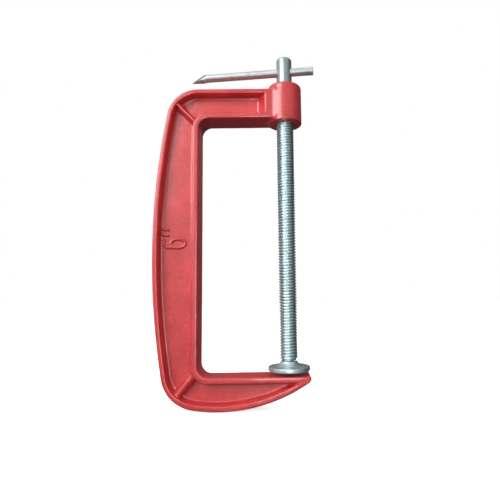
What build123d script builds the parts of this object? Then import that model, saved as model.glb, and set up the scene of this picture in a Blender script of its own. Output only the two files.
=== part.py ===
from build123d import *
import math
import os

# G-clamp with a cast frame, a threaded screw, a sliding tommy bar and a swivel pad.
# Millimetres. The origin is the middle of the anvil face, on the screw's axis. +Z runs up the
# screw, and the spine of the frame stands on the -X side.

# Casting: a C in side view, with an I-section made of a web between two flanges
flange_width = 18.5
arm_underside = 162.4
arm_top = 182.4
spine_inner = -55.7
spine_outer = -84.4
spine_arc_radius = 475.0
spine_arc_height = 78.0
lower_corner = -75.2
belly_low_point = (-43.0, -20.35)
belly_arc_radius = 101.0
tip_reach = 13.0
throat_radius = 6.5
upper_corner_radius = 20.0
lower_corner_radius = 22.5
web_thickness = 6.4
outer_flange = 2.7
belly_flange = 3.3
inner_flange = 3.4
pocket_draft = 5.0
pocket_boss_end = -12.3
pocket_tip_end = 2.5
casting_edge_radius = 0.8
tolerance = 0.01

# Corner ribs: start on the throat corner, direction in degrees, length and width
rib_sink = 1.0
rib_length = 19.0
upper_rib = ((-57.5, 159.9), 133.9, 3.0)
lower_rib = ((-56.1, 1.8), 230.2, 3.8)

# Raised size mark on the front of the web: a six and two inch strokes, read upwards
mark_height = 0.8
mark_stroke = 1.8
six_bowl_centre = (-69.4, 82.3)
six_bowl_outside = (5.3, 3.5)
six_bowl_inside = (3.5, 1.7)
six_stem_start = (-71.0, 80.1)
six_stem_end = (-75.2, 79.7)
six_hook_bend = (-78.0, 82.3)
six_hook_end = (-76.9, 84.6)
inch_strokes = (((-79.3, 91.1), (-74.6, 90.5)), ((-79.3, 87.5), (-74.8, 87.0)))

# Threaded boss
boss_radius = 11.1
boss_bottom = 160.7
boss_top = 186.8
boss_edge_radius = 2.0

# Screw: 7/16 inch, 14 threads to the inch, drawn as ring grooves at the true pitch
thread_radius = 11.112 / 2
thread_pitch = 25.4 / 14
thread_depth = 0.97
crest_share = 0.25
thread_turns = 98
running_clearance = 0.044
head_radius = 5.05
head_top = 206.5
head_edge_radius = 1.3
neck_radius = 2.2
ball_radius = 3.2

# Swivel pad: its height over the anvil, and its own sizes
pad_gap = 2.3
pad_radius = 13.0
pad_rim_height = 2.5
pad_height = 5.7
pad_crown_radius = 5.35
pad_flare_point = (7.6, 5.35)
pad_floor = 0.9
pad_edge = 0.3
socket_clearance = 0.05

# Tommy bar, lying across the head
bar_radius = 2.6
bar_axis_height = 197.4
bar_yaw = 7.0
bar_left_end = -63.8
bar_right_end = 19.6
left_pinch = 9.5
right_pinch = 6.0
left_tip_section = (1.0, 0.5)
left_bulge_section = (2.3, 3.05)
right_tip_section = (3.2, 2.5)
left_tip_drop = 2.1
bulge_blend = 2.5
cross_hole_radius = 2.9

half_width = flange_width / 2
web_face = web_thickness / 2
draft_inset = (half_width - web_face) * math.tan(math.radians(pocket_draft))
ball_height = pad_gap + pad_floor + socket_clearance + ball_radius
pad_top = pad_gap + pad_height
shoulder_height = pad_top + 0.5
thread_start = pad_top + 0.9
thread_end = thread_start + thread_turns * thread_pitch
bar_direction = Vector(math.cos(math.radians(bar_yaw)), -math.sin(math.radians(bar_yaw)), 0)
bar_plane = Plane(
    origin=(0, 0, bar_axis_height), x_dir=Vector(0, 0, 1).cross(bar_direction), z_dir=bar_direction
)

os.makedirs("parts", exist_ok=True)


def arc_reach(centre, radius, offset):
    """Distance from a circle's centre line to the circle, at an offset along that line."""
    return math.sqrt(radius**2 - (offset - centre) ** 2)


def c_shape(outer, belly, inner, boss_end, tip_end):
    """The C in side view, with each of its edges moved into the casting by an inset."""
    top = arm_top - outer
    spine_centre = spine_outer + spine_arc_radius
    belly_centre = belly_low_point[1] + belly_arc_radius
    belly_radius = belly_arc_radius - belly
    spine_top = spine_centre - arc_reach(spine_arc_height, spine_arc_radius - outer, top)
    corner_x = lower_corner + outer
    corner = (corner_x, belly_centre - arc_reach(belly_low_point[0], belly_radius, corner_x))
    tip = (tip_end, belly_centre - arc_reach(belly_low_point[0], belly_radius, tip_end))
    with BuildSketch() as shape:
        with BuildLine():
            Polyline(
                tip,
                (tip_end, -inner),
                (spine_inner - inner, -inner),
                (spine_inner - inner, arm_underside + inner),
                (boss_end, arm_underside + inner),
                (boss_end, top),
                (spine_top, top),
            )
            ThreePointArc((spine_top, top), (spine_outer + outer, spine_arc_height), corner)
            ThreePointArc(corner, (belly_low_point[0], belly_low_point[1] + belly), tip)
        make_face()
        fillet(shape.vertices().sort_by(Axis.X)[0], lower_corner_radius - outer)
        fillet(shape.vertices().group_by(Axis.Y)[-1].sort_by(Axis.X)[0], upper_corner_radius - outer)
        throat_line = spine_inner - inner
        throat = shape.vertices().filter_by_position(Axis.X, throat_line - tolerance, throat_line + tolerance)
        fillet(throat, throat_radius + inner)
    return shape.sketch


def pocket_shape(inset):
    """Outline of the pocket beside the web, made smaller by an inset."""
    return c_shape(
        outer_flange + inset,
        belly_flange + inset,
        inner_flange + inset,
        boss_end=pocket_boss_end - inset,
        tip_end=pocket_tip_end - inset,
    )


# Frame: the casting with its pockets, ribs, bored boss and size mark
with BuildPart() as frame:
    with BuildSketch(Plane.XZ):
        add(c_shape(0, 0, 0, boss_end=0, tip_end=tip_reach))
    extrude(amount=half_width, both=True)

    casting_rims = frame.faces().filter_by(Axis.Y).edges()
    fillet(casting_rims.filter_by_position(Axis.X, spine_outer, -boss_radius / 2), casting_edge_radius)

    for side in (1, -1):
        with BuildSketch(Plane.XZ.offset(side * half_width)):
            add(pocket_shape(0))
        with BuildSketch(Plane.XZ.offset(side * web_face)):
            add(pocket_shape(draft_inset))
        loft(mode=Mode.SUBTRACT)

    for start, direction, width in (upper_rib, lower_rib):
        with BuildSketch(Plane.XZ):
            with Locations(Location(start, direction)):
                Rectangle(rib_length, width, align=(Align.MIN, Align.CENTER))
        extrude(amount=half_width - rib_sink, both=True)

    with BuildSketch(Plane.XY.offset(boss_bottom)):
        Circle(boss_radius)
    extrude(amount=boss_top - boss_bottom)
    boss_rim = frame.edges().filter_by(GeomType.CIRCLE).sort_by(Axis.Z)[-1]
    fillet(boss_rim, boss_edge_radius)
    with BuildSketch(Plane.XY.offset(boss_bottom)):
        Circle(thread_radius + running_clearance)
    extrude(amount=boss_top - boss_bottom, mode=Mode.SUBTRACT)

    with BuildSketch(Plane.XZ.offset(web_face)):
        with BuildLine():
            Line(six_stem_start, six_stem_end)
            ThreePointArc(six_stem_end, six_hook_bend, six_hook_end)
        trace(line_width=mark_stroke)
        for stroke_start, stroke_end in inch_strokes:
            with BuildLine():
                Line(stroke_start, stroke_end)
            trace(line_width=mark_stroke)
        with Locations(six_bowl_centre):
            Ellipse(*six_bowl_outside)
            Ellipse(*six_bowl_inside, mode=Mode.SUBTRACT)
    extrude(amount=mark_height)

frame.part.label = "frame"
export_step(frame.part, "parts/frame.step")

# Swivel pad: a flat round foot that sweeps up to a crown, closed over the ball of the screw
with BuildPart() as swivel_pad:
    with BuildSketch(Plane.XZ):
        with BuildLine():
            Polyline(
                (pad_crown_radius, pad_top),
                (0, pad_top),
                (0, pad_gap),
                (pad_radius, pad_gap),
                (pad_radius, pad_gap + pad_rim_height),
            )
            ThreePointArc(
                (pad_radius, pad_gap + pad_rim_height), pad_flare_point, (pad_crown_radius, pad_top)
            )
        make_face()
    revolve(axis=Axis.Z)
    chamfer(swivel_pad.edges().filter_by(GeomType.CIRCLE).group_by(Axis.Z)[0], pad_edge)
    with Locations((0, 0, ball_height)):
        Sphere(ball_radius + socket_clearance, mode=Mode.SUBTRACT)

swivel_pad.part.label = "swivel_pad"
export_step(swivel_pad.part, "parts/swivel_pad.step")

# Screw: ball, neck, shoulder, threaded shank and plain head with the cross hole
with BuildPart() as screw:
    root_radius = thread_radius - thread_depth
    flank = (1 - 2 * crest_share) / 2 * thread_pitch
    shank = [(0, ball_height), (neck_radius, ball_height), (neck_radius, shoulder_height)]
    for turn in range(thread_turns):
        root = thread_start + turn * thread_pitch
        crest = root + flank
        shank += [(root_radius, root), (thread_radius, crest)]
        shank += [(thread_radius, crest + crest_share * thread_pitch)]
        shank += [(root_radius, crest + crest_share * thread_pitch + flank)]
    shank += [(head_radius, thread_end), (head_radius, head_top), (0, head_top)]
    with BuildSketch(Plane.XZ):
        with BuildLine():
            Polyline(*shank, close=True)
        make_face()
    revolve(axis=Axis.Z)
    fillet(screw.edges().filter_by(GeomType.CIRCLE).sort_by(Axis.Z)[-1], head_edge_radius)
    with Locations((0, 0, ball_height)):
        Sphere(ball_radius)
    with BuildSketch(bar_plane):
        Circle(cross_hole_radius)
    extrude(amount=2 * head_radius, both=True, mode=Mode.SUBTRACT)

screw.part.label = "screw"
export_step(screw.part, "parts/screw.step")

# Tommy bar: a round rod. Its left end is pinched to a bulge and a low nib, and its right end is
# flattened wider, so neither end goes back through the head.
with BuildPart() as tommy_bar:
    with BuildSketch(bar_plane.offset(bar_left_end + left_pinch)):
        Circle(bar_radius)
    extrude(amount=bar_right_end - right_pinch - bar_left_end - left_pinch)
    with BuildSketch(bar_plane.offset(bar_left_end + left_pinch)):
        Circle(bar_radius)
    with BuildSketch(bar_plane.offset(bar_left_end + left_pinch - bulge_blend)):
        Ellipse(*left_bulge_section)
    with BuildSketch(bar_plane.offset(bar_left_end)):
        with Locations((0, -left_tip_drop)):
            Ellipse(*left_tip_section)
    loft(ruled=True)
    with BuildSketch(bar_plane.offset(bar_right_end - right_pinch)):
        Circle(bar_radius)
    with BuildSketch(bar_plane.offset(bar_right_end)):
        Ellipse(*right_tip_section)
    loft()

tommy_bar.part.label = "tommy_bar"
export_step(tommy_bar.part, "parts/tommy_bar.step")
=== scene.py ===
import math

import bmesh
import bpy
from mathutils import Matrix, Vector, noise


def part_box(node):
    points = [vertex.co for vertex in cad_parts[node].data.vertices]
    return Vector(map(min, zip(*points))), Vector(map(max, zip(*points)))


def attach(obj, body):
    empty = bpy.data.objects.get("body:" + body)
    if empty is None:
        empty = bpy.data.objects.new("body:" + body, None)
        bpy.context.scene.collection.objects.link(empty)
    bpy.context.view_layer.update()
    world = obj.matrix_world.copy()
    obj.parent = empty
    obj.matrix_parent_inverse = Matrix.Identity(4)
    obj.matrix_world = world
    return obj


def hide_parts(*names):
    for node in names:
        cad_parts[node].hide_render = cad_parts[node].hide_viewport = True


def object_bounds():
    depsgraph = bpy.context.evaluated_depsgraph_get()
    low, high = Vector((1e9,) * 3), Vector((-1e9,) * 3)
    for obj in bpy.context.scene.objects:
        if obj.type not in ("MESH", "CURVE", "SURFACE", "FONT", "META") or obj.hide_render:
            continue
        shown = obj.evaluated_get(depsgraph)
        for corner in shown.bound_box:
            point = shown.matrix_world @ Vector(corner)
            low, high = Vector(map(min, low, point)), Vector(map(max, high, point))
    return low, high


# G-clamp: cast frame, threaded screw, tommy bar and swivel pad.
# Shapes are worked out in millimetres in the CAD frame and scaled to metres as each mesh is made.

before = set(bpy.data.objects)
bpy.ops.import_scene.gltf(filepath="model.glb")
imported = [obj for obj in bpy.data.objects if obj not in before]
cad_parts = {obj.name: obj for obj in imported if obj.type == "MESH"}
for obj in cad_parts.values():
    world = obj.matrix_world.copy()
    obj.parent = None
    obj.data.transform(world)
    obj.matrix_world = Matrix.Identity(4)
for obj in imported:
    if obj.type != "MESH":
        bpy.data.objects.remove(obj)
cad_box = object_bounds()

MM = 0.001
TAU = 2 * math.pi

# Meshes: points closer than this are merged, edges sharper than this are creased, and a turned solid's
# end starts at this radius
MERGE_DISTANCE = 1e-4
CREASE_DEGREES = 38
AXIS_RADIUS = 0.02


def box_mm(node):
    """Lowest and highest corners of a CAD node, in millimetres."""
    low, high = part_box(node)
    return low / MM, high / MM


frame_low, frame_high = box_mm("frame")
screw_low, screw_high = box_mm("screw")
pad_low, pad_high = box_mm("swivel_pad")

# Casting, seen from the side: a C with an I-section
HALF_WIDTH = 9.25
ARM_UNDERSIDE = 162.4
ARM_TOP = 182.4
SPINE_INNER = -55.7
THROAT_RADIUS = 6.5
SPINE_RADIUS = 475.0
SPINE_CENTRE = Vector((frame_low.x + SPINE_RADIUS, 78.0))
BELLY_RADIUS = 101.0
BELLY_CENTRE = Vector((-43.0, frame_low.z + BELLY_RADIUS))
TIP_X = 13.0
UPPER_CORNER = 20.0
LOWER_CORNER = 22.5
WEB_HALF = 3.2
INNER_FLANGE = 3.4
OUTER_FLANGE = 2.7
BELLY_FLANGE = 3.3
EDGE_RADIUS = 1.2
LIP_RADIUS = 1.0
LIP_START = 0.3
FOOT_RADIUS = 1.2
POCKET_DRAFT = math.radians(5)
POCKET_DEPTH = HALF_WIDTH - WEB_HALF
POCKET_BOSS_END = -12.3
ARM_END = -6.2
POCKET_END_WIDTH = 7.0
POCKET_END_BLEND = 2.0
POCKET_END_REACH = 12
NARROWEST_POCKET = 0.8
NARROWEST_WEB = 0.4
NARROWEST_RIM = 0.2
POCKET_FADE = 0.6

# Where the lower arm's lines start to turn, where the outer flange grows to the belly's width, and how
# slanted a flange may be taken to be
LOWER_ARM_TURN = 0.35
BELLY_START = -76
BELLY_BLEND = 14
MOST_SLANT = 0.55

# Rows of points along the casting, and points across its web
LOWER_ARM_ROWS = 54
LOWER_CORNER_ROWS = 22
SPINE_ROWS = 60
UPPER_CORNER_ROWS = 20
UPPER_ARM_ROWS = 14
POCKET_END_ROWS = 16
BLOCK_ROWS = 14
TIP_ROWS = 4
WEB_POINTS = 14

# Sand-cast unevenness: height and bumps per millimetre of a coarse and a fine wander
COARSE_HEIGHT, COARSE_PER_MM = 0.09, 0.16
FINE_HEIGHT, FINE_PER_MM = 0.05, 0.45
UNEVENNESS = 0.6

# Corner ribs: point on the centre line, direction in degrees, half width on top (0 for a round rib),
# flank width, height over the middle of the web
UPPER_RIB = (Vector((-57.5, 159.9)), 133.9, 0.5, 2.0, HALF_WIDTH - 0.9)
LOWER_RIB = (Vector((-57.0, 2.7)), 230.2, 0, 3.1, HALF_WIDTH - 1.2)
RIB_REACH = 24

# Boss
BOSS_RADIUS = frame_high.y
BOSS_BOTTOM = 160.7
BOSS_TOP = frame_high.z
BORE_RADIUS = 5.64
BOSS_LOW_EDGE = 0.8
BOSS_TOP_EDGE = 2
BOSS_MOUTH = 0.6
BOSS_FILLET = 2.2
BOSS_FILLET_BELOW = 1.2
BOSS_SIDE_BLEND = 2.6
BOSS_BLEND_START = -16
POCKET_FLOOR_LIMIT = 6.5

# Screw and pad
PITCH = 25.4 / 14
CREST_RADIUS = screw_high.x - 0.01
ROOT_RADIUS = CREST_RADIUS - 0.95
HEAD_RADIUS = 5.05
HEAD_START = 186.4
HEAD_EDGE = 1.3
HEAD_FOOT_EDGE = 0.3
THREAD_START = pad_high.z + 0.9
THREAD_COLUMNS = 40
ROWS_PER_PITCH = 8
SHOULDER_GAP = 0.5
SHOULDER_EDGE = 0.3
NECK_RADIUS = 2.2
BALL_RADIUS = 3.2
BALL_HEIGHT = screw_low.z + BALL_RADIUS
SOCKET_RADIUS = 3.25
PAD_RIM_HEIGHT = 2.5
PAD_CROWN_RADIUS = 5.35
PAD_FLARE = Vector((7.6, 5.35))
PAD_RECESS_RADIUS = 8.0
PAD_RECESS_DEPTH = 0.15
PAD_LOW_EDGE = 0.35
PAD_EDGE = 0.4
PAD_MOUTH_RADIUS = 3.3
PAD_MOUTH_DEPTH = 0.25

# Tommy bar
BAR_RADIUS = 2.6
BAR_HEIGHT = 197.4
BAR_YAW = math.radians(7)
BAR_LEFT = -63.8
BAR_RIGHT = 19.6
LEFT_PINCH = 9.5
RIGHT_PINCH = 6.0
HOLE_RADIUS = 2.9
WORN_HOLE_RADIUS = 3.15
WORN_HOLE_DEPTH = 0.9
BAR_ALONG = Vector((math.cos(BAR_YAW), -math.sin(BAR_YAW), 0))
BAR_ACROSS = Vector((0, 0, 1)).cross(BAR_ALONG)
UP = Vector((0, 0, 1))

# Flats ground on the bar's left end: the way each faces, its offset from the nib, and how closely a face
# has to match to be bare steel
BEVEL = (UP * 1.5 - BAR_ALONG - BAR_ACROSS * 1.9).normalized()
LOW_BEVEL = (-UP - BAR_ALONG * 0.13 - BAR_ACROSS).normalized()
BEVEL_OFFSET = 0.6
LOW_BEVEL_OFFSET = 0.4
BEVEL_MATCH = 0.985

# Left end of the bar: (half width, half height, drop) at the tip, at the root of the nib and at the
# bulge, and how the bulge runs into the round rod
NIB_TIP = (0.8, 0.25, -2.2)
NIB_ROOT = (1.3, 0.45, -2.15)
BULGE = (2.3, 3.05, -0.15)
BULGE_CURVE = 0.8
BULGE_START = 1.5
BULGE_BLEND = 2.5

# Right end of the bar: growth in half width, loss in half height, depth and spread of the groove, and the
# length and section of the rounded end
FLAT_WIDER = 0.6
FLAT_LOWER = 0.05
GROOVE_SHARE = 0.22
GROOVE_SPREAD = 0.45
END_ROUNDING = 0.25
END_SECTION = (2.9, 2.2)


def steps(start, end, count):
    """Evenly spaced values from start to end, both included."""
    return [start + (end - start) * i / count for i in range(count + 1)]


def smooth(t):
    """0 to 1 with level ends."""
    t = min(1.0, max(0.0, t))
    return t * t * (3 - 2 * t)


def polar(centre, radius, degrees):
    """Point at a distance and an angle from a centre."""
    angle = math.radians(degrees)
    return centre + Vector((math.cos(angle), math.sin(angle))) * radius


def degrees_of(vector):
    """Direction of a flat vector, from 0 to 360 degrees."""
    return math.degrees(math.atan2(vector.y, vector.x)) % 360


def loft(bm, rings, wrap=False, caps=True):
    """Skins a list of closed rings with the same number of points. Returns the vertex rings."""
    made = [[bm.verts.new(p) for p in ring] for ring in rings]
    pairs = list(zip(made, made[1:]))
    if wrap:
        pairs.append((made[-1], made[0]))
    for low, high in pairs:
        for j in range(len(low)):
            k = (j + 1) % len(low)
            bm.faces.new((low[j], low[k], high[k], high[j]))
    if caps and not wrap:
        for ring in (made[0], made[-1]):
            middle = bm.verts.new(sum((v.co for v in ring), Vector()) / len(ring))
            for j in range(len(ring)):
                bm.faces.new((ring[j], ring[(j + 1) % len(ring)], middle))
    return made


def turn(bm, profile, count=72, wrap=False):
    """Solid of revolution about the screw's axis from (radius, height) points."""
    rings = []
    for radius, height in profile:
        rings.append(
            [
                Vector((radius * math.cos(TAU * i / count), radius * math.sin(TAU * i / count), height))
                for i in range(count)
            ]
        )
    loft(bm, rings, wrap=wrap)


def arc(centre, radius, start, end, count):
    """Points on an arc, as (radius, height) pairs for turn()."""
    return [tuple(polar(Vector(centre), radius, a)) for a in steps(start, end, count)]


def piece(name, bm, body, node, material, sharp=CREASE_DEGREES):
    """Makes a finished object: metres, outward normals, smooth faces with sharp creases."""
    bmesh.ops.remove_doubles(bm, verts=bm.verts, dist=MERGE_DISTANCE)
    bmesh.ops.recalc_face_normals(bm, faces=bm.faces)
    limit = math.radians(sharp)
    for face in bm.faces:
        face.smooth = True
    for edge in bm.edges:
        edge.smooth = len(edge.link_faces) != 2 or edge.calc_face_angle(0) < limit
    bmesh.ops.scale(bm, vec=(MM, MM, MM), verts=bm.verts)
    mesh = bpy.data.meshes.new(name)
    bm.to_mesh(mesh)
    bm.free()
    made = bpy.data.objects.new(name, mesh)
    bpy.context.scene.collection.objects.link(made)
    mesh.materials.append(material)
    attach(made, body)
    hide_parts(node)
    return made


# Materials


def texture_tree(name):
    """A new material with its shader and object coordinates."""
    material = bpy.data.materials.new(name)
    material.use_nodes = True
    tree = material.node_tree
    shader = tree.nodes["Principled BSDF"]
    coordinates = tree.nodes.new("ShaderNodeTexCoord").outputs["Object"]
    return material, tree, shader, coordinates


def noise_field(tree, coordinates, per_mm, detail=3.0, roughness=0.55, stretch=(1, 1, 1)):
    """Noise with a given number of features per millimetre, stretched along the axes."""
    mapping = tree.nodes.new("ShaderNodeMapping")
    mapping.inputs["Scale"].default_value = [s / MM for s in stretch]
    tree.links.new(coordinates, mapping.inputs["Vector"])
    field = tree.nodes.new("ShaderNodeTexNoise")
    field.inputs["Scale"].default_value = per_mm
    field.inputs["Detail"].default_value = detail
    field.inputs["Roughness"].default_value = roughness
    tree.links.new(mapping.outputs["Vector"], field.inputs["Vector"])
    return field.outputs["Fac"]


def ramp(tree, value, stops):
    """Colour ramp over a value, from (position, colour) stops."""
    made = tree.nodes.new("ShaderNodeValToRGB")
    elements = made.color_ramp.elements
    while len(elements) < len(stops):
        elements.new(0.5)
    for element, (position, colour) in zip(elements, stops):
        element.position = position
        element.color = (*colour, 1)
    tree.links.new(value, made.inputs["Fac"])
    return made.outputs["Color"]


def mix(tree, factor, first, second, mode="MIX"):
    """Mixes two colours. Each value is a socket, a colour or a number."""
    made = tree.nodes.new("ShaderNodeMix")
    made.data_type = "RGBA"
    made.blend_type = mode
    for value, socket in ((factor, made.inputs[0]), (first, made.inputs[6]), (second, made.inputs[7])):
        if isinstance(value, bpy.types.NodeSocket):
            tree.links.new(value, socket)
        elif isinstance(value, tuple):
            socket.default_value = (*value, 1)
        else:
            socket.default_value = value
    return made.outputs[2]


def spread(tree, value, low, high, start=0.3, end=0.7):
    """Maps a noise value to a range."""
    made = tree.nodes.new("ShaderNodeMapRange")
    made.inputs["From Min"].default_value = start
    made.inputs["From Max"].default_value = end
    made.inputs["To Min"].default_value = low
    made.inputs["To Max"].default_value = high
    tree.links.new(value, made.inputs["Value"])
    return made.outputs["Result"]


def bump(tree, shader, layers):
    """Chains bump layers of (height, distance in mm) into the shader's normal."""
    normal = None
    for height, distance in layers:
        made = tree.nodes.new("ShaderNodeBump")
        made.inputs["Strength"].default_value = 1.0
        made.inputs["Distance"].default_value = distance * MM
        tree.links.new(height, made.inputs["Height"])
        if normal:
            tree.links.new(normal, made.inputs["Normal"])
        normal = made.outputs["Normal"]
    tree.links.new(normal, shader.inputs["Normal"])


def red_enamel():
    """Glossy red paint over sand-cast iron: pooled colour, pimples and dust."""
    material, tree, shader, place = texture_tree("red_enamel")
    broad = noise_field(tree, place, 0.07, 3)
    grain = noise_field(tree, place, 0.9, 4, 0.6)
    pimples = noise_field(tree, place, 2.6, 2, 0.5)
    depths = [(0.3, (0.60, 0.030, 0.034)), (0.55, (0.70, 0.040, 0.045)), (0.75, (0.78, 0.055, 0.058))]
    colour = ramp(tree, broad, depths)
    thin = ramp(tree, grain, [(0.32, (0.80, 0.72, 0.72)), (0.5, (1, 1, 1)), (0.72, (1.12, 1.2, 1.2))])
    colour = mix(tree, 0.7, colour, thin, "MULTIPLY")
    dust = spread(tree, noise_field(tree, place, 1.7, 1, 0.4), 0, 0.75, 0.735, 0.80)
    colour = mix(tree, dust, colour, (0.86, 0.46, 0.44))
    tree.links.new(colour, shader.inputs["Base Color"])
    tree.links.new(spread(tree, grain, 0.26, 0.44), shader.inputs["Roughness"])
    shader.inputs["Coat Weight"].default_value = 0.6
    shader.inputs["Coat Roughness"].default_value = 0.10
    shader.inputs["Coat IOR"].default_value = 1.5
    bump(tree, shader, [(broad, 0.30), (grain, 0.06), (pimples, 0.02)])
    return material


def groove_painted_shade(tree, place, colour):
    """Painted shade: darkens the thread towards its root, where shade falls in the groove."""
    across = tree.nodes.new("ShaderNodeVectorMath")
    across.operation = "MULTIPLY"
    across.inputs[1].default_value = (1, 1, 0)
    tree.links.new(place, across.inputs[0])
    radius = tree.nodes.new("ShaderNodeVectorMath")
    radius.operation = "LENGTH"
    tree.links.new(across.outputs[0], radius.inputs[0])
    crest_share = spread(tree, radius.outputs["Value"], 0, 1, ROOT_RADIUS * MM, (CREST_RADIUS - 0.1) * MM)
    shade = ramp(tree, crest_share, [(0.1, (0.66, 0.68, 0.69)), (0.9, (1, 1, 1))])
    return mix(tree, 1.0, colour, shade, "MULTIPLY")


def zinc(name, stretch, tint, rings=False, haze=0.0, smooth_finish=0.0, shaded_grooves=False):
    """Bright zinc plate on steel: cloudy blue-grey, with fine marks along the working direction."""
    material, tree, shader, place = texture_tree(name)
    cloud = noise_field(tree, place, 0.22, 3)
    marks = noise_field(tree, place, 1.0, 4, 0.65, stretch)
    fine = noise_field(tree, place, 4.0, 2, 0.5)
    clouds = [(0.3, (0.66, 0.70, 0.70)), (0.5, (0.77, 0.80, 0.81)), (0.72, (0.86, 0.88, 0.90))]
    colour = ramp(tree, cloud, clouds)
    stain = ramp(tree, marks, [(0.3, (0.80, 0.80, 0.74)), (0.5, (1, 1, 1)), (0.75, (1.05, 1.06, 1.07))])
    colour = mix(tree, 0.6, colour, stain, "MULTIPLY")
    colour = mix(tree, 1.0, colour, tint, "MULTIPLY")
    if shaded_grooves:
        # painted shade in the thread's grooves, darker towards the root
        colour = groove_painted_shade(tree, place, colour)
    tree.links.new(colour, shader.inputs["Base Color"])
    rough = 0.36 - smooth_finish
    tree.links.new(spread(tree, marks, rough - 0.06, rough + 0.08), shader.inputs["Roughness"])
    shader.inputs["Metallic"].default_value = 1.0 - haze
    layers = [(marks, 0.003), (fine, 0.001)]
    if rings:
        lathe = tree.nodes.new("ShaderNodeTexWave")
        lathe.wave_type = "RINGS"
        lathe.rings_direction = "Z"
        lathe.inputs["Scale"].default_value = 0.35 / MM
        lathe.inputs["Distortion"].default_value = 0.6
        tree.links.new(place, lathe.inputs["Vector"])
        layers.append((lathe.outputs["Fac"], 0.008))
    bump(tree, shader, layers)
    return material


def plain_white():
    """Pale studio floor, a little brighter than the light that falls on it."""
    material, tree, shader, place = texture_tree("studio_floor")
    mottle = noise_field(tree, place, 0.01, 2)
    shades = ramp(tree, mottle, [(0.3, (0.93, 0.93, 0.93)), (0.7, (0.95, 0.95, 0.95))])
    tree.links.new(shades, shader.inputs["Base Color"])
    shader.inputs["Roughness"].default_value = 0.9
    shader.inputs["Specular IOR Level"].default_value = 0.1
    shader.inputs["Emission Color"].default_value = (1, 1, 1, 1)
    shader.inputs["Emission Strength"].default_value = 0.75
    return material


# Casting


def upper_corner_centre():
    """Centre of the rounding that touches both the spine's arc and the top of the arm."""
    height = ARM_TOP - UPPER_CORNER
    reach = math.sqrt((SPINE_RADIUS - UPPER_CORNER) ** 2 - (height - SPINE_CENTRE.y) ** 2)
    return Vector((SPINE_CENTRE.x - reach, height))


def lower_corner_centre():
    """Centre of the rounding that touches both the spine's arc and the belly's arc."""
    to_spine = SPINE_RADIUS - LOWER_CORNER
    to_belly = BELLY_RADIUS - LOWER_CORNER
    gap = SPINE_CENTRE - BELLY_CENTRE
    along = (to_belly**2 - to_spine**2 + gap.length**2) / (2 * gap.length)
    unit = gap.normalized()
    return BELLY_CENTRE + unit * along + Vector((unit.y, -unit.x)) * math.sqrt(to_belly**2 - along**2)


def rib_angle(rib, centre, radius):
    """Angle about centre where the rib's centre line leaves a circle."""
    point, direction = rib[0] - centre, polar(Vector((0, 0)), 1, rib[1])
    middle = point.dot(direction)
    reach = math.sqrt(radius**2 - point.length**2 + middle**2)
    return degrees_of(point + direction * (reach - middle))


def corner_lines(inner_centre, outer_centre, outer_radius, keys, count):
    """Lines across a corner, between (inner angle, outer angle) keys."""
    lines = []
    for (inner_a, outer_a), (inner_b, outer_b) in zip(keys, keys[1:]):
        for t in steps(0, 1, count)[:-1]:
            inner = polar(inner_centre, THROAT_RADIUS, inner_a + (inner_b - inner_a) * t)
            outer = polar(outer_centre, outer_radius, outer_a + (outer_b - outer_a) * t)
            lines.append((inner, outer))
    return lines


def lower_arm_lines(throat, belly_touch):
    """Lines across the lower arm, upright at the anvil's tip and turning towards the corner."""
    lines = []
    for t in steps(0, 1, LOWER_ARM_ROWS)[:-1]:
        x = TIP_X - EDGE_RADIUS + (throat.x - TIP_X + EDGE_RADIUS) * t
        turned = smooth((t - LOWER_ARM_TURN) / (1 - LOWER_ARM_TURN))
        out_x = x + (belly_touch.x - throat.x) * turned
        drop = math.sqrt(BELLY_RADIUS**2 - (out_x - BELLY_CENTRE.x) ** 2)
        lines.append((Vector((x, 0)), Vector((out_x, BELLY_CENTRE.y - drop))))
    return lines


def spine_lines(low, high, low_angle, high_angle):
    """Lines across the spine, from the flat inner face to the outer arc."""
    lines = []
    for t in steps(0, 1, SPINE_ROWS)[:-1]:
        inner = Vector((SPINE_INNER, low + (high - low) * t))
        lines.append((inner, polar(SPINE_CENTRE, SPINE_RADIUS, low_angle + (high_angle - low_angle) * t)))
    return lines


def upper_arm_lines(throat, corner):
    """Lines across the upper arm, closer together at the pocket's end wall."""
    wall_end = POCKET_BOSS_END - POCKET_END_WIDTH
    lines = []
    for t in steps(0, 1, UPPER_ARM_ROWS)[:-1]:
        inner_x = throat.x + (wall_end - throat.x) * t
        outer_x = corner.x + (wall_end - corner.x) * t
        lines.append((Vector((inner_x, ARM_UNDERSIDE)), Vector((outer_x, ARM_TOP))))
    wall = steps(wall_end, POCKET_BOSS_END, POCKET_END_ROWS)
    for x in wall + steps(POCKET_BOSS_END, ARM_END, BLOCK_ROWS)[1:]:
        lines.append((Vector((x, ARM_UNDERSIDE)), Vector((x, ARM_TOP))))
    return lines


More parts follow.
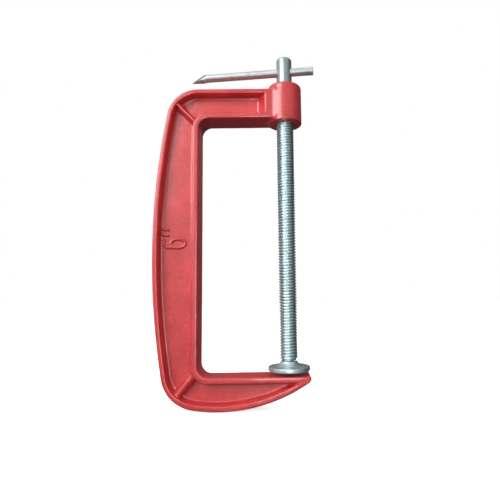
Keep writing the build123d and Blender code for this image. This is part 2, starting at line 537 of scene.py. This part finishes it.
def casting_lines():
    """Lines across the C from its inner to its outer edge, from the anvil tip round to the boss."""
    lower_centre, upper_centre = lower_corner_centre(), upper_corner_centre()
    lower_throat = Vector((SPINE_INNER + THROAT_RADIUS, THROAT_RADIUS))
    upper_throat = Vector((SPINE_INNER + THROAT_RADIUS, ARM_UNDERSIDE - THROAT_RADIUS))
    belly_angle = degrees_of(lower_centre - BELLY_CENTRE)
    low_angle = degrees_of(lower_centre - SPINE_CENTRE)
    high_angle = degrees_of(upper_centre - SPINE_CENTRE)
    lower_keys = [
        (270, belly_angle),
        (rib_angle(LOWER_RIB, lower_throat, THROAT_RADIUS), rib_angle(LOWER_RIB, lower_centre, LOWER_CORNER)),
        (180, low_angle),
    ]
    upper_keys = [
        (180, high_angle),
        (rib_angle(UPPER_RIB, upper_throat, THROAT_RADIUS), rib_angle(UPPER_RIB, upper_centre, UPPER_CORNER)),
        (90, 90),
    ]
    lines = lower_arm_lines(lower_throat, polar(BELLY_CENTRE, BELLY_RADIUS, belly_angle))
    lines += corner_lines(lower_throat, lower_centre, LOWER_CORNER, lower_keys, LOWER_CORNER_ROWS)
    lines += spine_lines(lower_throat.y, upper_throat.y, low_angle, high_angle)
    lines += corner_lines(upper_throat, upper_centre, UPPER_CORNER, upper_keys, UPPER_CORNER_ROWS)
    return lines + upper_arm_lines(upper_throat, upper_centre)


def wall_curve():
    """(offset, depth) points down a pocket wall: rounded lip, drafted flank, fillet at the foot."""
    lip = [
        (LIP_RADIUS * math.sin(a), LIP_RADIUS * (1 - math.cos(a)))
        for a in steps(0, math.pi / 2 - POCKET_DRAFT, 4)
    ]
    foot_start = POCKET_DEPTH - FOOT_RADIUS * (1 - math.sin(POCKET_DRAFT))
    foot_offset = lip[-1][0] + math.tan(POCKET_DRAFT) * (foot_start - lip[-1][1])
    centre = foot_offset + FOOT_RADIUS * math.cos(POCKET_DRAFT)
    foot = [
        (centre - FOOT_RADIUS * math.cos(b), POCKET_DEPTH - FOOT_RADIUS * (1 - math.sin(b)))
        for b in steps(POCKET_DRAFT, math.pi / 2, 6)
    ]
    flank = [
        (lip[-1][0] + (foot[0][0] - lip[-1][0]) * t, lip[-1][1] + (foot[0][1] - lip[-1][1]) * t)
        for t in (0.35, 0.7)
    ]
    return lip + flank + foot


def section(length, inner, outer, inset):
    """Front half of the I-section, as (distance from the inner edge, height over the middle, in pocket)."""
    half = HALF_WIDTH - inset
    room = length - inner - outer
    if room < NARROWEST_POCKET:
        shrink = (length - NARROWEST_POCKET) / (inner + outer)
        inner, outer = inner * shrink, outer * shrink
    curve = wall_curve()
    wall_width = curve[-1][0]
    squeeze = min(1.0, max(room, NARROWEST_POCKET) / (2 * wall_width + NARROWEST_WEB))
    deep = smooth((room - POCKET_FADE) / (1.5 * wall_width))
    angles = steps(0, math.pi / 2, 4)
    start = [(inset, half * t - EDGE_RADIUS * t, False) for t in (0, 0.35, 0.7)]
    round_in = [
        (inset + EDGE_RADIUS * (1 - math.cos(a)), half - EDGE_RADIUS * (1 - math.sin(a)), False)
        for a in angles
    ]
    lip_in = max(inner - LIP_START, inset + EDGE_RADIUS + NARROWEST_RIM)
    lip_out = min(length - outer + LIP_START, length - inset - EDGE_RADIUS - NARROWEST_RIM)
    down = [(lip_in + o * squeeze, half - d * deep, True) for o, d in curve]
    web_start, web_end = down[-1][0], lip_out - wall_width * squeeze
    floor = steps(web_start, web_end, WEB_POINTS)[1:-1]
    web = [(distance, down[-1][1], True) for distance in floor]
    up = [(lip_out - o * squeeze, half - d * deep, True) for o, d in reversed(curve)]
    tops_in = [(inset + EDGE_RADIUS + (lip_in - inset - EDGE_RADIUS) * t, half, False) for t in (0.33, 0.66)]
    round_out = [(length - d, h, False) for d, h, _ in reversed(round_in)]
    tops_out = [(lip_out + (length - inset - EDGE_RADIUS - lip_out) * t, half, False) for t in (0.33, 0.66)]
    end = [(length - d, h, False) for d, h, _ in reversed(start)]
    return start + round_in + tops_in + down + web + up + tops_out + round_out + end


def rib_share(rib, place):
    """How much of a rib's height stands at a place: 1 on its top, 0 past its flanks."""
    point, degrees, half_width, flank = rib[:4]
    direction = polar(Vector((0, 0)), 1, degrees)
    offset = place - point
    away = abs(offset.x * direction.y - offset.y * direction.x)
    if half_width == 0:
        return math.sqrt(max(0.0, 1 - (away / flank) ** 2))
    return 1 - smooth((away - half_width) / flank)


def raised(place, height, half):
    """Height of a pocket point once the ribs and the solid end beside the boss are added."""
    for rib in (UPPER_RIB, LOWER_RIB):
        if (place - rib[0]).length < RIB_REACH:
            height = max(height, height + rib_share(rib, place) * (rib[-1] - height))
    if place.y > ARM_UNDERSIDE and place.x > POCKET_BOSS_END - POCKET_END_REACH:
        offset = POCKET_BOSS_END - place.x
        deep = (POCKET_DEPTH + POCKET_END_BLEND) * smooth(offset / POCKET_END_WIDTH)
        height = min(half, smooth_max(height, half - deep, POCKET_END_BLEND))
    return height


def smooth_max(a, b, blend):
    """The larger of two values, rounded over where they are close."""
    share = min(1.0, max(0.0, 0.5 + 0.5 * (b - a) / blend))
    return a + (b - a) * share + blend * share * (1 - share)


def side_blend(x):
    """Half width where the arm's flat side and the round boss run into each other."""
    boss_side = math.sqrt(max(BOSS_RADIUS**2 - x**2, 0))
    return smooth_max(HALF_WIDTH, boss_side, BOSS_SIDE_BLEND)


def boss_blend(point):
    """Moves a point of the arm out into the fillet where the arm meets the boss."""
    if point.z < ARM_UNDERSIDE - 1 or point.x < BOSS_BLEND_START:
        return point
    if abs(point.y) > POCKET_FLOOR_LIMIT:
        swell = (side_blend(point.x) - HALF_WIDTH) * smooth((abs(point.y) - POCKET_FLOOR_LIMIT) / 2)
        point.y += math.copysign(swell, point.y)
    gap = max(math.hypot(point.x, point.y) - BOSS_RADIUS, 0)
    if gap < BOSS_FILLET:
        swell = BOSS_FILLET - math.sqrt(BOSS_FILLET**2 - (BOSS_FILLET - gap) ** 2)
        if point.z > ARM_TOP - 0.5:
            point.z += swell
        elif point.z < ARM_UNDERSIDE + 0.5:
            point.z -= min(swell, BOSS_FILLET_BELOW)
    return point


def flange_share(edge_direction, across):
    """How much longer a flange is along a slanted line than square to its edge."""
    square = Vector((-edge_direction.y, edge_direction.x)).normalized()
    return 1 / max(MOST_SLANT, abs(square.dot(across)))


def casting_rings():
    """Start, direction, length, flange widths and inset of each section, with a rounded anvil tip."""
    lines = casting_lines()
    rings = []
    for i, (inner, outer) in enumerate(lines):
        before, after = lines[max(i - 1, 0)], lines[min(i + 1, len(lines) - 1)]
        across = (outer - inner).normalized()
        inner_edge, outer_edge = after[0] - before[0], after[1] - before[1]
        inner_width = INNER_FLANGE * flange_share(inner_edge, across)
        belly = smooth((outer.x - BELLY_START) / BELLY_BLEND) if outer.y < 0 else 0
        outer_width = OUTER_FLANGE + (BELLY_FLANGE - OUTER_FLANGE) * belly
        outer_width *= flange_share(outer_edge, across)
        rings.append((inner, across, (outer - inner).length, inner_width, outer_width, 0.0))
    first = rings[0]
    for angle in steps(0, math.pi / 2, TIP_ROWS)[1:]:
        shift = Vector((EDGE_RADIUS * math.sin(angle), 0))
        inset = EDGE_RADIUS * (1 - math.cos(angle))
        length = first[2] - 0.5 * shift.x
        rings.insert(0, (first[0] + shift, first[1], length, first[3], first[4], inset))
    return rings


def casting_body(bm):
    """Skins the sections of the casting, front and back alike."""
    rings = []
    for inner, across, length, inner_width, outer_width, inset in casting_rings():
        front = []
        for distance, height, pocket in section(length, inner_width, outer_width, inset):
            place = inner + across * distance
            if pocket:
                height = raised(place, height, HALF_WIDTH - inset)
            front.append((place, height))
        ring = [Vector((p.x, -h, p.y)) for p, h in front]
        ring += [Vector((p.x, h, p.y)) for p, h in reversed(front[1:-1])]
        rings.append([boss_blend(point) for point in ring])
    loft(bm, rings)


def boss(bm):
    """Round boss with a rounded top edge, and a chamfer at each mouth of its threaded hole."""
    low, high, mouth = BOSS_BOTTOM, BOSS_TOP, BOSS_MOUTH
    side = high - low - BOSS_LOW_EDGE - BOSS_TOP_EDGE
    profile = [(BORE_RADIUS, low + mouth), (BORE_RADIUS + mouth, low)]
    profile += [(BOSS_RADIUS - 3 * BOSS_LOW_EDGE, low), (BOSS_RADIUS - BOSS_LOW_EDGE, low)]
    profile += arc((BOSS_RADIUS - BOSS_LOW_EDGE, low + BOSS_LOW_EDGE), BOSS_LOW_EDGE, -90, 0, 5)[1:]
    profile += [(BOSS_RADIUS, low + BOSS_LOW_EDGE + side * t) for t in steps(0, 1, 24)[1:-1]]
    profile += arc((BOSS_RADIUS - BOSS_TOP_EDGE, high - BOSS_TOP_EDGE), BOSS_TOP_EDGE, 0, 90, 9)
    profile += [(BORE_RADIUS + mouth, high), (BORE_RADIUS, high - mouth)]
    turn(bm, profile, 96, wrap=True)
    for vert in bm.verts:
        outside = math.hypot(vert.co.x, vert.co.y) > BOSS_RADIUS - 0.5
        beside_arm = abs(vert.co.y) > 8 and -9 < vert.co.x < 0
        if outside and beside_arm and ARM_UNDERSIDE < vert.co.z < ARM_TOP:
            fade = smooth(min(vert.co.z - ARM_UNDERSIDE, ARM_TOP - vert.co.z) / 2)
            wider = max(side_blend(vert.co.x) - abs(vert.co.y), 0)
            vert.co.y += math.copysign(wider * fade, vert.co.y)


def wander(place):
    """Height of the uneven cast surface at a place, never above the true surface."""
    coarse = COARSE_HEIGHT * (noise.noise(place * COARSE_PER_MM) - 1)
    return coarse + FINE_HEIGHT * (noise.noise(place * FINE_PER_MM) - 1)


def uneven_cast(bm):
    """Lets the sand-cast surface wander a little, but only inwards so that the size is kept."""
    bmesh.ops.recalc_face_normals(bm, faces=bm.faces)
    bm.normal_update()
    moves = [(vert, vert.normal * wander(vert.co) * UNEVENNESS) for vert in bm.verts]
    for vert, move in moves:
        vert.co += move


# Raised size mark, in strokes with rounded tops
MARK_HEIGHT = 1.05
STROKE_HALF = 1.1
STROKE_END = 0.45
SIX_BOWL = Vector((-69.4, 82.3))
SIX_BOWL_AXES = (4.6, 2.8)
SIX_STEM = (Vector((-70.6, 79.9)), Vector((-75.0, 79.75)))
SIX_HOOK = (Vector((-75.6, 79.8)), Vector((-78.5, 82.3)), Vector((-77.2, 84.9)))
INCH_STROKES = (
    (Vector((-80.1, 91.5)), Vector((-74.6, 91.0))),
    (Vector((-80.1, 87.9)), Vector((-74.8, 87.4))),
)


def stroke(bm, path, closed=False):
    """One raised stroke along a path on the web, with rounded ends."""
    shape = [(-1, -0.4), (-0.95, 0.35), (-0.6, 0.85), (0, 1), (0.6, 0.85), (0.95, 0.35), (1, -0.4)]
    rings = []
    last = len(path) - 1
    for i, place in enumerate(path):
        if closed:
            ahead, behind = path[(i + 1) % len(path)], path[i - 1]
        else:
            ahead, behind = path[min(i + 1, last)], path[max(i - 1, 0)]
        along = (ahead - behind).normalized()
        side = Vector((-along.y, along.x))
        end = 1.0 if closed else min(1.0, STROKE_END + (1 - STROKE_END) * min(i, last - i) / 2)
        ring = []
        for across, out in shape:
            flat = place + side * (across * STROKE_HALF * end)
            depth = WEB_HALF + out * MARK_HEIGHT * (end if out > 0 else 1)
            ring.append(Vector((flat.x, -depth, flat.y)))
        rings.append(ring)
    loft(bm, rings, wrap=closed)


def arc_through(first, middle, last, count):
    """Points on the circle through three points."""
    a, b = middle - first, last - first
    area = 2 * (a.x * b.y - a.y * b.x)
    ux = (b.y * a.length_squared - a.y * b.length_squared) / area
    uy = (a.x * b.length_squared - b.x * a.length_squared) / area
    centre = first + Vector((ux, uy))
    start, end = degrees_of(first - centre), degrees_of(last - centre)
    turned = (end - start) % 360
    halfway = (degrees_of(middle - centre) - start) % 360
    if halfway > turned:
        turned -= 360
    radius = (first - centre).length
    return [polar(centre, radius, start + turned * t) for t in steps(0, 1, count)]


def size_mark(bm):
    """A six and two inch strokes, read upwards."""
    wide, tall = SIX_BOWL_AXES
    angles = [TAU * i / 40 for i in range(40)]
    stroke(bm, [SIX_BOWL + Vector((wide * math.cos(a), tall * math.sin(a))) for a in angles], closed=True)
    stem = [SIX_STEM[0].lerp(SIX_STEM[1], t) for t in steps(0, 1, 6)]
    stroke(bm, stem + arc_through(*SIX_HOOK, 16))
    for start, end in INCH_STROKES:
        stroke(bm, [start.lerp(end, t) for t in steps(0, 1, 10)])


# Screw


def thread_radius(sample, per_pitch):
    """Radius of the thread over one pitch, with a rolled flat on the crest and a rounded root."""
    wave = max(-1.0, min(1.0, 1.5 * math.cos(TAU * sample / per_pitch) + 0.45))
    return (CREST_RADIUS + ROOT_RADIUS) / 2 + wave * (CREST_RADIUS - ROOT_RADIUS) / 2


def thread(bm, low, high, core_low, core_high):
    """A right-hand helical thread whose depth fades out at both ends."""
    columns, per_pitch = THREAD_COLUMNS, ROWS_PER_PITCH
    rise = PITCH / per_pitch
    rows = int((high - low) / rise)
    grid = []
    for i in range(columns):
        column = []
        for k in range(rows + 1):
            height = low + k * rise + PITCH * (i / columns)
            run_in = smooth((height - low - PITCH) / (0.5 * PITCH))
            run_out = smooth((high - 0.8 * PITCH - height) / (0.9 * PITCH))
            core = core_low if height < (low + high) / 2 else core_high
            radius = core + (thread_radius(k, per_pitch) - core) * min(run_in, run_out)
            angle = TAU * i / columns
            column.append(bm.verts.new((radius * math.cos(angle), radius * math.sin(angle), height)))
        grid.append(column)
    for i in range(columns - 1):
        for k in range(rows):
            bm.faces.new((grid[i][k], grid[i + 1][k], grid[i + 1][k + 1], grid[i][k + 1]))
    for k in range(rows - per_pitch):
        bm.faces.new((grid[-1][k], grid[0][k + per_pitch], grid[0][k + per_pitch + 1], grid[-1][k + 1]))
    foot = [column[0] for column in grid] + [grid[0][k] for k in range(per_pitch, 0, -1)]
    crown = [column[-1] for column in grid] + [grid[-1][k] for k in range(rows - 1, rows - per_pitch - 1, -1)]
    for loop in (foot, crown):
        middle = bm.verts.new(sum((v.co for v in loop), Vector()) / len(loop))
        for j in range(len(loop)):
            bm.faces.new((loop[j], loop[(j + 1) % len(loop)], middle))


def mesh_object(name, build):
    """A plain helper object made by a function that fills a bmesh."""
    bm = bmesh.new()
    build(bm)
    bmesh.ops.remove_doubles(bm, verts=bm.verts, dist=MERGE_DISTANCE)
    bmesh.ops.recalc_face_normals(bm, faces=bm.faces)
    mesh = bpy.data.meshes.new(name)
    bm.to_mesh(mesh)
    bm.free()
    made = bpy.data.objects.new(name, mesh)
    bpy.context.scene.collection.objects.link(made)
    return made


def bar_rings(sections, count=40):
    """Rings across the bar's axis from (place along, half width, half height, drop, groove) sections."""
    rings = []
    for along, width, height, drop, groove in sections:
        centre = Vector((0, 0, BAR_HEIGHT)) + BAR_ALONG * along + UP * drop
        ring = []
        for i in range(count):
            angle = TAU * i / count
            side, rise = math.cos(angle), math.sin(angle)
            pinch = 1 - groove * math.exp(-((rise / GROOVE_SPREAD) ** 2))
            ring.append(centre + BAR_ACROSS * (side * width * pinch) + UP * (rise * height))
        rings.append(ring)
    return rings


def head_blank(bm):
    """The plain head before its hole is drilled, with a rounded top edge."""
    top, edge, foot = screw_high.z, HEAD_EDGE, HEAD_START + HEAD_FOOT_EDGE
    profile = [(AXIS_RADIUS, HEAD_START), (HEAD_RADIUS - 0.25, HEAD_START), (HEAD_RADIUS, foot)]
    profile += [(HEAD_RADIUS, height) for height in steps(foot, top - edge, 12)[1:-1]]
    profile += arc((HEAD_RADIUS - edge, top - edge), edge, 0, 90, 8)
    profile += [(2.0, top), (AXIS_RADIUS, top)]
    turn(bm, profile, 80)


def hole_cutter(bm):
    """Cross hole with a worn, slightly flared mouth on each side of the head."""
    reach = HEAD_RADIUS + 1
    worn = (HEAD_RADIUS, WORN_HOLE_RADIUS)
    flare = [(reach, 3.6), worn, (HEAD_RADIUS - WORN_HOLE_DEPTH, HOLE_RADIUS)]
    shape = [(-s, r) for s, r in flare] + [(s, r) for s, r in reversed(flare)]
    loft(bm, bar_rings([(s, r, r, 0, 0) for s, r in shape], 48))


def drilled_head(bm):
    """Adds the head with its cross hole to the mesh."""
    blank, cutter = mesh_object("head_blank", head_blank), mesh_object("hole_cutter", hole_cutter)
    cut = blank.modifiers.new("hole", "BOOLEAN")
    cut.operation = "DIFFERENCE"
    cut.solver = "EXACT"
    cut.object = cutter
    result = blank.evaluated_get(bpy.context.evaluated_depsgraph_get()).to_mesh()
    bm.from_mesh(result)
    for helper in (blank, cutter):
        bpy.data.meshes.remove(helper.data)


def screw_foot(bm):
    """Ball, neck and shoulder below the thread."""
    meet = math.degrees(math.acos(NECK_RADIUS / BALL_RADIUS))
    profile = arc((0, BALL_HEIGHT), BALL_RADIUS, -89.5, meet, 18)
    shoulder, edge = pad_high.z + SHOULDER_GAP, SHOULDER_EDGE
    profile += [(NECK_RADIUS, shoulder - edge), (NECK_RADIUS + edge, shoulder)]
    profile += [(ROOT_RADIUS - edge, shoulder)]
    profile += [(ROOT_RADIUS + 0.02, THREAD_START), (ROOT_RADIUS + 0.02, THREAD_START + 2)]
    profile += [(AXIS_RADIUS, THREAD_START + 2)]
    turn(bm, profile, 56)


def threaded_shank(bm):
    """The thread and the foot that carries the pad. The thread's lowest rows reach into the pad's top."""
    thread(bm, THREAD_START - PITCH, HEAD_START + 1.4 * PITCH, ROOT_RADIUS - 0.05, HEAD_RADIUS - 0.04)
    screw_foot(bm)


# Bar and pad


def between(first, second, share):
    """Values part of the way from one tuple to another."""
    return [a + (b - a) * share for a, b in zip(first, second)]


def left_end_sections():
    """From the left tip: a narrow nib low down, a pinched bulge, then the round rod."""
    rod = (BAR_RADIUS, BAR_RADIUS, 0)
    sections = [(BAR_LEFT + 0.02, *NIB_TIP, 0)]
    bulge = BAR_LEFT + LEFT_PINCH - BULGE_START
    for t in steps(0, 1, 20)[1:]:
        place = BAR_LEFT + (bulge - BAR_LEFT) * t
        sections.append((place, *between(NIB_ROOT, BULGE, t**BULGE_CURVE), 0))
    for t in steps(0, 1, 5)[1:]:
        sections.append((bulge + BULGE_BLEND * t, *between(BULGE, rod, smooth(t)), 0))
    return sections


def right_end_sections():
    """The rod flattened a little wider towards its right end, with a groove on each side."""
    sections = []
    for t in steps(0, 1, 12)[1:]:
        flat = smooth(t * 1.3)
        place = BAR_RIGHT - RIGHT_PINCH * (1 - t) - END_ROUNDING
        width, height = BAR_RADIUS + FLAT_WIDER * flat, BAR_RADIUS - FLAT_LOWER * flat
        sections.append((place, width, height, 0, GROOVE_SHARE * flat))
    return sections + [(BAR_RIGHT - 0.02, *END_SECTION, 0, GROOVE_SHARE)]


def tommy_bar(bm):
    """The rod with its two pinched ends and the two flats ground on the left one."""
    left, right = left_end_sections(), right_end_sections()
    places = steps(left[-1][0], BAR_RIGHT - RIGHT_PINCH, 16)[1:]
    middle = [(place, BAR_RADIUS, BAR_RADIUS, 0, 0) for place in places]
    loft(bm, bar_rings(left + middle + right))
    nib = Vector((0, 0, BAR_HEIGHT - 2.3)) + BAR_ALONG * BAR_LEFT
    cut_flat(bm, nib + BAR_ACROSS * BEVEL_OFFSET, BEVEL)
    cut_flat(bm, nib - BAR_ACROSS * LOW_BEVEL_OFFSET, LOW_BEVEL)


def cut_flat(bm, point, facing):
    """Grinds a flat on the left end of the bar, through a point."""
    for vert in bm.verts:
        out = (vert.co - point).dot(facing)
        if out > 0 and (vert.co - point).dot(BAR_ALONG) < LEFT_PINCH + 2:
            vert.co -= facing * out


def swivel_pad(bm):
    """A round foot that sweeps up to a crown, with the socket for the ball inside."""
    low, top, radius = pad_low.z, pad_high.z, pad_high.x
    rim_top = low + PAD_RIM_HEIGHT
    crown = PAD_CROWN_RADIUS
    floor = low + PAD_RECESS_DEPTH
    profile = [(AXIS_RADIUS, floor), (PAD_RECESS_RADIUS, floor)]
    profile += [(PAD_RECESS_RADIUS + 0.4, low), (radius - PAD_LOW_EDGE, low)]
    profile += arc((radius - PAD_LOW_EDGE, low + PAD_LOW_EDGE), PAD_LOW_EDGE, -90, 0, 4)[1:]
    profile += arc((radius - PAD_EDGE, rim_top - PAD_EDGE), PAD_EDGE, 0, 75, 4)
    flare = (Vector((radius - 0.5, rim_top)), PAD_FLARE, Vector((crown, top - PAD_EDGE)))
    profile += [tuple(p) for p in arc_through(*flare, 16)]
    profile += arc((crown - PAD_EDGE, top - PAD_EDGE), PAD_EDGE, 30, 90, 4)
    mouth = math.degrees(math.asin((top - PAD_MOUTH_DEPTH - BALL_HEIGHT) / SOCKET_RADIUS))
    socket = arc((0, BALL_HEIGHT), SOCKET_RADIUS, mouth, -89.5, 16)
    turn(bm, profile + [(PAD_MOUTH_RADIUS, top)] + socket, 96)


# Assembly

enamel = red_enamel()
# The thread's and the head's tints are partly painted light: both are the same zinc plate, with the thread
# set brighter to make up for shade in its grooves and the head set darker to damp its highlight.
rolled_zinc = zinc("zinc_thread", (1, 1, 0.6), (0.90, 1.04, 1.06), smooth_finish=0.04, shaded_grooves=True)
plain_zinc = zinc("zinc_head", (1, 1, 0.5), (0.50, 0.57, 0.57), haze=0.2, smooth_finish=0.04)
drawn_zinc = zinc("zinc_drawn", (0.35, 1.6, 1.6), (0.72, 0.74, 0.75), haze=0.7)
turned_zinc = zinc("zinc_turned", (1, 1, 1), (0.86, 0.98, 0.99), rings=True, haze=0.15)
bare_steel = zinc("steel_cut", (1.6, 1.6, 0.5), (0.50, 0.50, 0.42))


def build(fill, *then):
    """A new mesh, filled and then changed by each function in turn."""
    bm = bmesh.new()
    fill(bm)
    for step in then:
        step(bm)
    return bm


casting = build(casting_body, boss, uneven_cast)
piece("frame_casting", casting, "frame", "frame", enamel)
piece("size_mark", build(size_mark), "frame", "frame", enamel, sharp=60)
piece("screw_shank", build(threaded_shank), "screw", "screw", rolled_zinc, sharp=50)
piece("screw_head", build(drilled_head), "screw", "screw", plain_zinc, sharp=50)
rod = piece("bar_rod", build(tommy_bar), "bar", "tommy_bar", drawn_zinc, sharp=40)
rod.data.materials.append(bare_steel)
for face in rod.data.polygons:
    facing = max(face.normal.dot(BEVEL), face.normal.dot(LOW_BEVEL))
    face.material_index = int(facing > BEVEL_MATCH)
piece("pad_foot", build(swivel_pad), "pad", "swivel_pad", turned_zinc)


# Studio

# Brightness of the world from straight down to straight up, and from its bright to its dark side
WORLD_HEIGHTS = [(0.0, 0.26), (0.25, 0.27), (0.5, 0.48), (0.68, 0.74), (1.0, 0.88)]
WORLD_SIDES = [(0.0, 1.0), (0.45, 0.85), (0.7, 0.24), (1.0, 0.08)]
DARK_SIDE = Vector((0.6, 0.8, 0))

# Camera fitted to the photo: place in millimetres, turn in degrees
CAMERA_PLACE = Vector((-9.24, -266.76, 50.12))
CAMERA_TURN = (96.353, 0.818, -0.322)


def stage_floor():
    """Floor just under the clamp, seen by the camera only."""
    bm = bmesh.new()
    bmesh.ops.create_grid(bm, x_segments=4, y_segments=4, size=2.5)
    mesh = bpy.data.meshes.new("studio_floor")
    bm.to_mesh(mesh)
    bm.free()
    floor = bpy.data.objects.new("studio_floor", mesh)
    floor.location.z = cad_box[0].z - 0.0002
    bpy.context.scene.collection.objects.link(floor)
    mesh.materials.append(plain_white())
    floor.visible_diffuse = False
    floor.visible_glossy = False
    floor.visible_shadow = False


def world_light():
    """White to look at; as light it is bright above and in front, dim low down and behind to the right."""
    world = bpy.data.worlds.new("studio_world")
    bpy.context.scene.world = world
    world.use_nodes = True
    tree = world.node_tree
    tree.nodes.clear()
    coordinates = tree.nodes.new("ShaderNodeTexCoord")
    split = tree.nodes.new("ShaderNodeSeparateXYZ")
    tree.links.new(coordinates.outputs["Generated"], split.inputs["Vector"])
    height = spread(tree, split.outputs["Z"], 0, 1, -1, 1)
    turned_away = tree.nodes.new("ShaderNodeVectorMath")
    turned_away.operation = "DOT_PRODUCT"
    turned_away.inputs[1].default_value = DARK_SIDE
    tree.links.new(coordinates.outputs["Generated"], turned_away.inputs[0])
    side = spread(tree, turned_away.outputs["Value"], 0, 1, -1, 1)
    grey = [(place, (level, level * 1.02, level * 1.02)) for place, level in WORLD_HEIGHTS]
    sides = [(place, (level, level, level)) for place, level in WORLD_SIDES]
    shade = mix(tree, 1.0, ramp(tree, height, grey), ramp(tree, side, sides), "MULTIPLY")
    lit = tree.nodes.new("ShaderNodeBackground")
    tree.links.new(shade, lit.inputs["Color"])
    seen = tree.nodes.new("ShaderNodeBackground")
    seen.inputs["Color"].default_value = (1, 1, 1, 1)
    path = tree.nodes.new("ShaderNodeLightPath")
    choose = tree.nodes.new("ShaderNodeMixShader")
    tree.links.new(path.outputs["Is Camera Ray"], choose.inputs[0])
    tree.links.new(lit.outputs[0], choose.inputs[1])
    tree.links.new(seen.outputs[0], choose.inputs[2])
    output = tree.nodes.new("ShaderNodeOutputWorld")
    tree.links.new(choose.outputs[0], output.inputs["Surface"])


def softbox(name, place, aim, size, power, beam=180, mirrored=True, lit=True):
    """Area light. It can be kept out of the reflections, or kept to the reflections only."""
    light = bpy.data.lights.new(name, "AREA")
    light.spread = math.radians(beam)
    light.shape = "RECTANGLE"
    light.size, light.size_y = size
    light.energy = power
    made = bpy.data.objects.new(name, light)
    made.location = place
    made.rotation_euler = (Vector(aim) - Vector(place)).to_track_quat("-Z", "Y").to_euler()
    made.visible_glossy = mirrored
    made.visible_diffuse = lit
    bpy.context.scene.collection.objects.link(made)


def camera():
    """Camera at the photo's angle, with everything in focus."""
    data = bpy.data.cameras.new("camera")
    data.sensor_width = 36
    data.lens = 30.04
    data.shift_x = -0.0514
    data.shift_y = -0.0070
    data.clip_start = 0.005
    made = bpy.data.objects.new("camera", data)
    made.location = CAMERA_PLACE * MM
    made.rotation_euler = [math.radians(angle) for angle in CAMERA_TURN]
    bpy.context.scene.collection.objects.link(made)
    bpy.context.scene.camera = made


stage_floor()
world_light()
centre = Vector((-0.036, 0, 0.09))
softbox("key", (-0.34, -0.38, 0.40), (-0.04, 0, 0.19), (0.44, 0.52), 0.53, beam=54)
softbox("front", (0, -0.55, 0.05), (0, 0, 0.05), (0.10, 0.26), 0.9, lit=False)
softbox("strip", (-0.50, -0.36, 0.22), centre, (0.06, 0.26), 0.12, lit=False)
softbox("back", (0.30, 0.55, 0.55), centre, (0.6, 0.5), 2.6, mirrored=False)
camera()
bpy.context.scene.view_settings.view_transform = "Standard"
